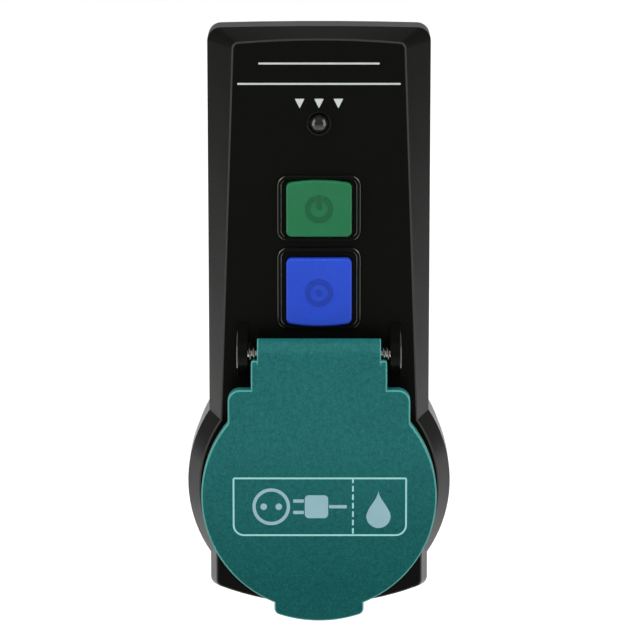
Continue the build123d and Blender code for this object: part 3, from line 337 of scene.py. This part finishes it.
def housing_finish(name, gloss):
    """Black semi-gloss moulding of the shells."""
    return moulded(name, linear(6, 7, 5), 0.3, 0.5 * MM, 0.2, 0.004 * MM, gloss, 0.04)


def front_finish():
    """The shells' black, polished on rims and ears, with painted highlights as pale lines along the rims' sides
    and the panel's edge.
    """
    finish = housing_finish("housing_black_front", 0.055)
    rim_front_y = panel_y - rim_height
    aside, depth = finish.aside(), finish.axis("Y")
    before_panel = 1 - depth.above(panel_y - 2 * step_blur, step_blur)
    behind_rim = depth.above(rim_front_y + step_blur, step_blur)
    on_ears = aside.above(ear_polish_x, step_blur)
    above_collar = finish.axis("Z").above(ear_low_z, step_blur)
    finish.shader.inputs["Coat Roughness"].default_value = 0.14
    polished = before_panel * (behind_rim + on_ears).clamped() * above_collar
    finish.fill(finish.shader.inputs["Coat Weight"], polished)
    # Pale lines on the rims' sides and along the panel's edge are painted highlights; the rims' inner edges get
    # the palest.
    rim_edge = behind_rim * (1 - depth.above(rim_front_y + rim_edge_r, step_blur))
    rim_side = aside.above(rim_side_x, rim_side_blur) * (1 - aside.above(rim_half, step_blur))
    rim_inside = rim_side * (1 - aside.above(rim_half - rim_width / 2, step_blur))
    on_slope = depth.above(panel_y + step_blur, step_blur)
    panel_edge_highlight = on_slope * (1 - depth.above(panel_y + panel_edge, step_blur)) * 0.5
    black = finish.shader.inputs["Base Color"].links[0].from_socket
    painted_highlight = finish.blend(black, linear(52, 54, 50), panel_edge_highlight + rim_edge * rim_side)
    finish.colour(finish.blend(painted_highlight, linear(104, 106, 100), rim_edge * rim_inside))
    return finish


def lid_finish():
    """Teal moulding with a coarser spark-eroded grain, with painted highlights along its edges, and painted light
    and shade that make it paler at the top and deeper towards its tab.
    """
    finish = Finish("lid_teal", Specular_IOR_Level=0.09)
    fine = finish.noise(0.4 * MM, 2.0)
    coarse = finish.noise(1.1 * MM, 2.0)
    flow = finish.noise(20 * MM, 3.0, distortion=0.8)
    specks = 1 - finish.cells(0.8 * MM).above(0.2, 0.16)
    shade = 1 + (fine - 0.5) * 0.9 + (coarse - 0.5) * 0.7 + (flow - 0.5) * 0.16
    aside, depth, height = finish.aside(), finish.axis("Y"), finish.axis("Z")
    # Painted light and shade: the teal is paler at the top of the lid and deeper lower down.
    painted_top_light = height.above((lid_painted_light_z + lid_painted_shade_z) / 2, lid_painted_light_z - lid_painted_shade_z)
    body = finish.tint(finish.blend(linear(4, 64, 63), linear(20, 78, 77), painted_top_light), shade)
    speckled = finish.blend(body, linear(70, 140, 136), specks * 0.1)
    # Pale lines along the plate's edge and round the knuckle's ends are painted highlights.
    past_face = depth.above(lid_face_y + plate_highlight_start, plate_highlight_start_blur)
    plate_edge = past_face * (1 - depth.above(lid_face_y + plate_highlight_end, plate_highlight_end_blur))
    beside = aside.above(knuckle_half + knuckle_highlight_blur, knuckle_side_blur)
    knuckle = height.above(lid_high[2] - knuckle_height, knuckle_low_blur) * (1 - beside)
    behind, over = depth - (lid_face_y + knuckle_radius), height - (lid_high[2] - knuckle_radius)
    squared = behind * behind + over * over
    from_pin = squared.worked("SQRT", squared)
    in_front = 1 - behind.above(0, knuckle_highlight_back_blur)
    round_edge = from_pin.above(knuckle_radius - knuckle_highlight, knuckle_highlight_blur) * in_front
    end_edge = round_edge * aside.above(knuckle_half - knuckle_end_highlight, knuckle_highlight_blur)
    painted_highlight = plate_edge * (1 - knuckle) + end_edge * knuckle
    finish.colour(finish.blend(speckled, linear(84, 158, 150), painted_highlight * 0.42))
    finish.roughness(0.42 + (flow - 0.5) * 0.12 + (fine - 0.5) * 0.12)
    finish.relief(fine * 0.5 + coarse * 0.5, 0.02 * MM)
    return finish


def lens_finish():
    """Clear lens over its unlit lamp, given a near-black colour as painted shade for the dark well behind it."""
    finish = Finish("lens_clear", Transmission_Weight=0.35, IOR=1.49, Specular_IOR_Level=0.65)
    swirl = finish.noise(1.6 * MM, 2.0)
    # The near-black colour is painted shade for the dark inside of the lamp.
    finish.colour(finish.tint((0.006, 0.005, 0.004), 1 + (swirl - 0.5) * 0.4))
    finish.roughness(0.06 + swirl * 0.06)
    return finish


def wound_finish(name, colour, axis):
    """Fine wire laid side by side along one axis, its colour darker in the grooves between turns as painted shade.
    """
    finish = Finish(name, Metallic=0.6)
    turns = finish.axis(axis) / wire_pitch
    ridge = turns.worked("PINGPONG", turns, 0.5) * 2
    # Darker colour in the grooves between turns is painted shade.
    finish.colour(finish.tint(colour, 0.55 + ridge * 0.6))
    finish.roughness(0.3 + finish.noise(1.5 * MM) * 0.2)
    finish.relief(ridge, 0.05 * MM)
    return finish


def board_finish():
    """Solder mask with tracks showing through."""
    finish = Finish("board_green")
    along = finish.axis("X") / track_pitch
    track = along.worked("PINGPONG", along, 0.5).above(0.32, 0.04)
    gate = finish.noise(7 * MM, 0.0).above(0.52, 0.02)
    finish.colour(finish.blend(linear(20, 84, 50), linear(52, 128, 74), track * gate))
    finish.roughness(0.3 + finish.noise(3 * MM) * 0.2)
    finish.relief(track * gate, 0.03 * MM)
    return finish


def print_finish(name, colour):
    """Screen-printed ink, slightly uneven."""
    finish = Finish(name, Specular_IOR_Level=0.35)
    uneven = finish.noise(0.5 * MM, 2.0)
    wide = finish.noise(5 * MM, 2.0)
    finish.colour(finish.tint(colour, 0.94 + uneven * 0.12 + (wide - 0.5) * 0.12))
    finish.roughness(0.5 + (uneven - 0.5) * 0.2)
    finish.relief(uneven, 0.006 * MM)
    return finish


# Moulded finishes give colour, roughness, size, strength and depth of the grain, and gloss.
# Metals give colour, roughness, width of the drawing lines and their stretch along each axis.
finishes = {
    "housing_plastic": housing_finish("housing_black", 0.14),
    "socket_plastic": moulded("socket_black", linear(20, 20, 20), 0.4, 0.5 * MM, 0.2, 0.006 * MM),
    "lid_plastic": lid_finish(),
    "green_button": moulded("button_green", linear(22, 84, 52), 0.36, 0.4 * MM, 0.14, 0.006 * MM, 0.2),
    "blue_button": moulded("button_blue", linear(26, 56, 156), 0.36, 0.4 * MM, 0.14, 0.006 * MM, 0.2),
    "rubber": moulded("seal_rubber", linear(38, 38, 38), 0.75, 0.6 * MM, 0.3, 0.02 * MM, 0.3),
    "steel": metal("zinc_steel", (0.62, 0.62, 0.63), 0.3, 0.15 * MM, (0.1, 1.0, 1.0)),
    "plug_pin": metal("nickel_pin", (0.74, 0.72, 0.67), 0.2, 0.2 * MM, (1.0, 0.08, 1.0)),
    "brass": metal("strip_brass", (0.78, 0.58, 0.26), 0.28, 0.25 * MM, (1.0, 1.0, 0.08)),
    "line_insulation": moulded("wire_brown", linear(96, 56, 34), 0.45, 0.5 * MM, 0.1, 0.01 * MM),
    "neutral_insulation": moulded("wire_blue", linear(38, 76, 168), 0.45, 0.5 * MM, 0.1, 0.01 * MM),
    "clear_lens": lens_finish(),
    "lamp": moulded("lamp_red", linear(70, 34, 28), 0.25, 0.6 * MM, 0.1, 0.004 * MM),
    "board": board_finish(),
    "inner_plastic": moulded("natural_plastic", linear(226, 222, 208), 0.5, 0.5 * MM, 0.08, 0.01 * MM),
    "copper": wound_finish("winding_copper", (0.72, 0.33, 0.16), "Z"),
    "core_steel": metal("core_coating", (0.3, 0.33, 0.36), 0.45, 0.4 * MM, (1.0, 1.0, 0.2)),
    "chip_plastic": moulded("epoxy_black", linear(34, 34, 35), 0.6, 0.3 * MM, 0.2, 0.01 * MM),
    "capacitor_sleeve": moulded("sleeve_dark", linear(34, 42, 62), 0.35, 0.5 * MM, 0.1, 0.004 * MM),
    "resistor_body": moulded("resistor_beige", linear(196, 176, 138), 0.5, 0.3 * MM, 0.1, 0.01 * MM),
    "varistor_body": moulded("varistor_blue", linear(52, 86, 150), 0.5, 0.3 * MM, 0.1, 0.01 * MM),
}
lid_ink = print_finish("ink_pale_teal", linear(118, 168, 165))
drop_ink = print_finish("ink_pale_blue", linear(112, 143, 149))
panel_ink = print_finish("ink_white", linear(146, 150, 149))
green_mark = moulded("mark_green", linear(16, 68, 42), 0.4, 0.4 * MM, 0.14, 0.006 * MM, 0.2)
blue_mark = moulded("mark_blue", linear(20, 45, 130), 0.4, 0.4 * MM, 0.14, 0.006 * MM, 0.2)


def dress_cad_nodes():
    """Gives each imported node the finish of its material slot, or its own."""
    spring = metal("spring_steel", (0.62, 0.6, 0.56), 0.3, 0.15 * MM, (0.1, 1.0, 1.0))
    own = {name: spring for name in ("hinge_pin", "hinge_spring_left", "hinge_spring_right")}
    own["front_shell"] = front_finish()
    for row in frame["record"]["subparts"]:
        mesh = frame["nodes"][row["node"]].data
        mesh.materials.clear()
        mesh.materials.append(own.get(row["node"], finishes[row["material_slot"]]).material)


def press_springs():
    """Gives each node that the joints list as deforming, other than twisting ones, a mesh of its own."""
    for joint in frame["joints"]:
        for row in joint["deforming_nodes"]:
            kind, letter = row["mode"].split("_")
            if kind == "twist":
                continue
            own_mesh(frame["nodes"][row["node"]])


def unselected(mesh):
    """Takes a mesh out of editing with nothing in it selected."""
    bpy.ops.object.mode_set(mode="OBJECT")
    for part in (mesh.vertices, mesh.edges, mesh.polygons):
        for item in part:
            item.select = False
    return mesh


def faces(piece, test):
    """Selects the faces of the piece whose middle passes the test, for editing."""
    for face in unselected(piece.data).polygons:
        face.select = test(face.center)
    bpy.ops.object.mode_set(mode="EDIT")


def corners(piece, test):
    """Selects the vertices of the piece that pass the test, for editing."""
    for vertex in unselected(piece.data).vertices:
        vertex.select = test(vertex.co)
    bpy.ops.object.mode_set(mode="EDIT")


def start(name):
    """Names the primitive that was just added, places it in its mesh and opens it for editing."""
    piece = bpy.context.object
    piece.name = name
    piece.data.name = name
    bpy.ops.object.transform_apply(location=True, rotation=True, scale=True)
    bpy.ops.object.mode_set(mode="EDIT")
    bpy.ops.mesh.select_mode(type="VERT")
    return piece


def upright_plane(name, left, right, low, high, y):
    """A flat face that looks to the front."""
    bpy.ops.object.select_all(action="DESELECT")
    bpy.ops.mesh.primitive_plane_add(
        size=1, location=((left + right) / 2, y, (low + high) / 2), rotation=(math.pi / 2, 0, 0)
    )
    bpy.context.object.scale = (right - left, high - low, 1)
    return start(name)


def upright_disc(name, x, y, z, radius, sides):
    """A round flat face that looks to the front."""
    bpy.ops.object.select_all(action="DESELECT")
    bpy.ops.mesh.primitive_circle_add(
        vertices=sides, radius=radius, fill_type="NGON", location=(x, y, z), rotation=(math.pi / 2, 0, 0)
    )
    return start(name)


def rounded(radius, segments):
    """Rounds every corner of the flat face being edited."""
    bpy.ops.mesh.select_all(action="SELECT")
    bpy.ops.mesh.bevel(offset=radius, segments=segments, affect="VERTICES")


def thickened(piece, height):
    """Extrudes the flat faces of the piece towards the front, and ends its editing."""
    bpy.ops.mesh.select_all(action="SELECT")
    bpy.ops.mesh.extrude_region_move(TRANSFORM_OT_translate={"value": (0, -height, 0)})
    bpy.ops.mesh.select_all(action="SELECT")
    bpy.ops.mesh.normals_make_consistent(inside=False)
    bpy.ops.object.mode_set(mode="OBJECT")
    return piece


def hollowed(piece, line, height):
    """Leaves only a line along the edge of the flat face being edited, and gives it its height."""
    bpy.ops.mesh.select_all(action="SELECT")
    bpy.ops.mesh.inset(thickness=line, use_even_offset=True)
    bpy.ops.mesh.delete(type="FACE")
    return thickened(piece, height)


def ring(name, x, y, z, radius, line, height):
    """A flat ring whose line has an even width, given its height."""
    return hollowed(upright_disc(name, x, y, z, radius, ring_sides), line, height)


def dot(name, x, y, z, radius, inner, height):
    """A round dot with an inner circle of edges, given its height."""
    piece = upright_disc(name, x, y, z, radius, dot_sides)
    bpy.ops.mesh.select_all(action="SELECT")
    bpy.ops.mesh.inset(thickness=inner)
    return thickened(piece, height)


def dressed(piece, finish, body):
    """Gives a new piece its finish and the body that carries it."""
    piece.data.materials.clear()
    piece.data.materials.append(finish.material)
    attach(piece, body)


def joined(name, pieces):
    """Several meshes made one."""
    bpy.ops.object.select_all(action="DESELECT")
    for piece in pieces:
        piece.select_set(True)
    bpy.context.view_layer.objects.active = pieces[0]
    bpy.ops.object.join()
    pieces[0].name = name
    pieces[0].data.name = name
    return pieces[0]


def lid_frame():
    """Printed frame line with rounder corners below."""
    piece = upright_plane("lid_print_frame", frame_left, frame_right, frame_low, frame_high, lid_print_y)
    middle = (frame_low + frame_high) / 2
    corners(piece, lambda place: place.z < middle)
    bpy.ops.mesh.bevel(offset=frame_low_corner, segments=10, affect="VERTICES")
    high_edge = frame_high - frame_high_corner / 2
    corners(piece, lambda place: place.z > high_edge)
    bpy.ops.mesh.bevel(offset=frame_high_corner, segments=5, affect="VERTICES")
    return hollowed(piece, frame_line, print_thickness)


def lid_divider():
    """Dashed line between the two cells of the frame. Its first dash starts below the frame's line."""
    half = divider_width / 2
    dashes = []
    count = int((frame_high - frame_low - dash_length) / dash_step) + 1
    for number in range(count):
        low = frame_high - number * dash_step - dash_length
        high = min(low + dash_length, frame_high - frame_line)
        dash = upright_plane("dash", divider_x - half, divider_x + half, low, high, lid_print_y)
        rounded(divider_width / 5, segments=3)
        dashes.append(thickened(dash, print_thickness))
    return joined("lid_print_divider", dashes)


def lid_drop():
    """Plain drop: a round foot whose upper half draws up to a fine tip on hollow flanks."""
    middle = drop_low_z + drop_radius
    piece = upright_disc("lid_print_drop", drop_x, lid_print_y, middle, drop_radius, drop_sides)
    bpy.ops.object.mode_set(mode="OBJECT")
    for vertex in piece.data.vertices:
        x, z = vertex.co.x - drop_x, vertex.co.z - middle
        if z > 0:
            share = math.atan2(z, abs(x)) / (math.pi / 2)
            waisted = (1 + math.cos(math.pi * share)) / 2
            width = drop_hollow * waisted + (1 - drop_hollow) * (1 - share)
            vertex.co.x = drop_x + math.copysign(drop_radius * width, x)
            vertex.co.z = middle + (drop_tip_z - middle) * share
    bpy.ops.object.mode_set(mode="EDIT")
    return thickened(piece, print_thickness)


def lid_bar(left, right, low, high, corner):
    """Printed bar with rounded corners."""
    piece = upright_plane("bar", left, right, low, high, lid_print_y)
    rounded(corner, segments=5)
    return thickened(piece, print_thickness)


def socket_sign():
    """General sign for a socket: a ring with two dots."""
    inner = sign_dot_radius / 4
    parts = [ring("socket_sign", socket_sign_x, lid_print_y, sign_z, sign_radius, sign_line, print_thickness)]
    for side in (-1, 1):
        x = socket_sign_x + side * sign_dot_x
        parts.append(dot("socket_dot", x, lid_print_y, sign_z, sign_dot_radius, inner, print_thickness))
    return parts


def plug_sign():
    """General sign for a plug: a rounded body with two pins and a cord."""
    left, right = plug_sign_x - plug_half, plug_sign_x + plug_half
    half = sign_line / 2
    gap = half / 2
    parts = [lid_bar(left, right, sign_z - plug_half, sign_z + plug_half, plug_half / 3)]
    for side in (-1, 1):
        z = sign_z + side * plug_half / 2
        parts.append(lid_bar(left - plug_half, left - gap, z - half, z + half, sign_bar_corner))
    cord_end = right + plug_cord_length
    parts.append(lid_bar(right + gap, cord_end, sign_z - half, sign_z + half, sign_bar_corner))
    return parts


def lid_symbol():
    """Socket and plug side by side."""
    return joined("lid_print_symbol", socket_sign() + plug_sign())


def panel_rule(half, z):
    """Printed line across the panel."""
    thick = panel_rule_width / 2
    piece = upright_plane("rule", -half, half, z - thick, z + thick, panel_print_y)
    rounded(thick * 0.9, segments=4)
    return thickened(piece, print_thickness)


def panel_triangle(x, z):
    """Small printed triangle that points down."""
    half = triangle_size / 2
    piece = upright_plane("triangle", x - half, x + half, z - half, z + half, panel_print_y)
    corners(piece, lambda place: place.z < z)
    bpy.ops.mesh.merge(type="CENTER")
    rounded(triangle_size / 12, segments=3)
    return thickened(piece, print_thickness)


def panel_print():
    """Rules and triangles that lead down to the lamp."""
    parts = [panel_rule(panel_top_half, panel_row_top_z), panel_rule(panel_middle_half, panel_row_middle_z)]
    parts += [panel_triangle(number * triangle_size * 2, panel_row_low_z) for number in (-1, 0, 1)]
    return joined("panel_print", parts)


def dished_y(low):
    """Depth of a button's dished face at its middle."""
    return low[1] + dish_depth


def lens_dome():
    """Front of the lens: the cap that rounds off its flat."""
    bpy.ops.object.select_all(action="DESELECT")
    bpy.ops.mesh.primitive_uv_sphere_add(
        segments=lens_segments, ring_count=lens_rings, radius=lens_radius,
        location=(0, panel_y, lens_z), rotation=(math.pi / 2, 0, 0),
    )
    dome = start("lens_dome")
    bpy.ops.mesh.select_all(action="SELECT")
    bpy.ops.mesh.bisect(
        plane_co=(0, panel_y - lens_flat, lens_z), plane_no=(0, 1, 0), use_fill=True, clear_outer=True
    )
    bpy.ops.mesh.select_all(action="SELECT")
    bpy.ops.mesh.normals_make_consistent(inside=False)
    bpy.ops.object.mode_set(mode="OBJECT")
    bpy.ops.object.shade_smooth_by_angle(angle=lens_smooth_angle)
    return dome


def opened_ring(name, y, z):
    """A raised ring that is open above."""
    mark = ring(name, 0, y, z, mark_radius, mark_line, mark_thickness)
    faces(mark, lambda middle: abs(middle.x) < mark_line and middle.z > z)
    bpy.ops.mesh.delete(type="FACE")
    bpy.ops.mesh.select_all(action="SELECT")
    bpy.ops.mesh.fill_holes(sides=4)
    bpy.ops.object.mode_set(mode="OBJECT")
    return mark


def reset_mark():
    """Raised sign on the green button: a ring open above, with a bar in the opening."""
    y = dished_y(reset_low) + mark_relief
    z = (reset_low[2] + reset_high[2]) / 2
    half = mark_line / 2
    bar = upright_plane("reset_bar", -half, half, z, z + mark_radius, y)
    rounded(half / 2, segments=4)
    thickened(bar, mark_thickness)
    return joined("reset_mark", [opened_ring("reset_ring", y, z), bar])


def test_mark():
    """Raised sign on the blue button: a ring with a dot."""
    y = dished_y(test_low) + mark_relief
    z = (test_low[2] + test_high[2]) / 2
    middle = dot("test_dot", 0, y, z, mark_line * 0.75, mark_line / 6, mark_thickness)
    return joined("test_mark", [ring("test_ring", 0, y, z, mark_radius, mark_line, mark_thickness), middle])


def stage():
    """Pale floor under the part."""
    bpy.ops.object.select_all(action="DESELECT")
    bpy.ops.mesh.primitive_plane_add(size=floor_size, location=(0, 0, floor_z))
    floor = start("studio_floor")
    bpy.ops.mesh.subdivide(number_cuts=floor_cuts)
    bpy.ops.object.mode_set(mode="OBJECT")
    finish = Finish("floor_pale", Specular_IOR_Level=0.1)
    cloud = finish.noise(0.5, 2.0)
    finish.colour(finish.tint((0.93, 0.93, 0.93), 0.99 + cloud * 0.02))
    finish.roughness(0.8 + cloud * 0.05)
    floor.data.materials.append(finish.material)


def soft_light(name, place, target, size, power):
    """A square light that glossy faces don't mirror."""
    bpy.ops.object.light_add(type="AREA", location=place)
    lamp = bpy.context.object
    lamp.name = name
    lamp.data.energy = power
    lamp.data.size = size
    lamp.visible_glossy = False
    lamp.rotation_euler = (Vector(target) - Vector(place)).to_track_quat("-Z", "Y").to_euler()
    return lamp


def lights():
    """Soft studio lights. Only the two upright strips beside the part show in its gloss."""
    soft_light("key_high", key_place, key_target, key_size, key_power)
    soft_light("fill_front", fill_place, studio_middle, fill_size, fill_power)
    for side in (-1, 1):
        place = (side * strip_x, strip_y, strip_z)
        strip = soft_light("strip", place, studio_middle, strip_width, strip_power)
        strip.data.shape = "RECTANGLE"
        strip.data.size_y = strip_height
        strip.visible_glossy = True
        wash_target = (side * wash_target_x, wash_target_y, floor_z)
        soft_light("floor_wash", (side * wash_x, wash_y, wash_z), wash_target, wash_size, wash_power)
    world = bpy.data.worlds.new("studio")
    world.use_nodes = True
    background = world.node_tree.nodes["Background"]
    background.inputs["Color"].default_value = (1, 1, 1, 1)
    background.inputs["Strength"].default_value = world_strength
    bpy.context.scene.world = world
    bpy.context.scene.view_settings.view_transform = "Standard"


def camera():
    """Camera at the photograph's viewing angle."""
    back = Vector((0, -math.cos(camera_elevation), math.sin(camera_elevation)))
    bpy.ops.object.camera_add(location=look_at + back * camera_distance)
    piece = bpy.context.object
    piece.rotation_euler = (-back).to_track_quat("-Z", "Y").to_euler()
    piece.data.lens = camera_lens
    piece.data.sensor_width = camera_sensor
    piece.data.clip_start = camera_nearest
    piece.data.clip_end = camera_farthest
    bpy.context.scene.camera = piece


dress_cad_nodes()
press_springs()
dressed(lid_frame(), lid_ink, "lid")
dressed(lid_divider(), lid_ink, "lid")
dressed(lid_drop(), drop_ink, "lid")
dressed(lid_symbol(), drop_ink, "lid")
dressed(panel_print(), panel_ink, "housing")
dressed(lens_dome(), finishes["clear_lens"], "housing")
dressed(reset_mark(), green_mark, "reset_button")
dressed(test_mark(), blue_mark, "test_button")
stage()
lights()
camera()
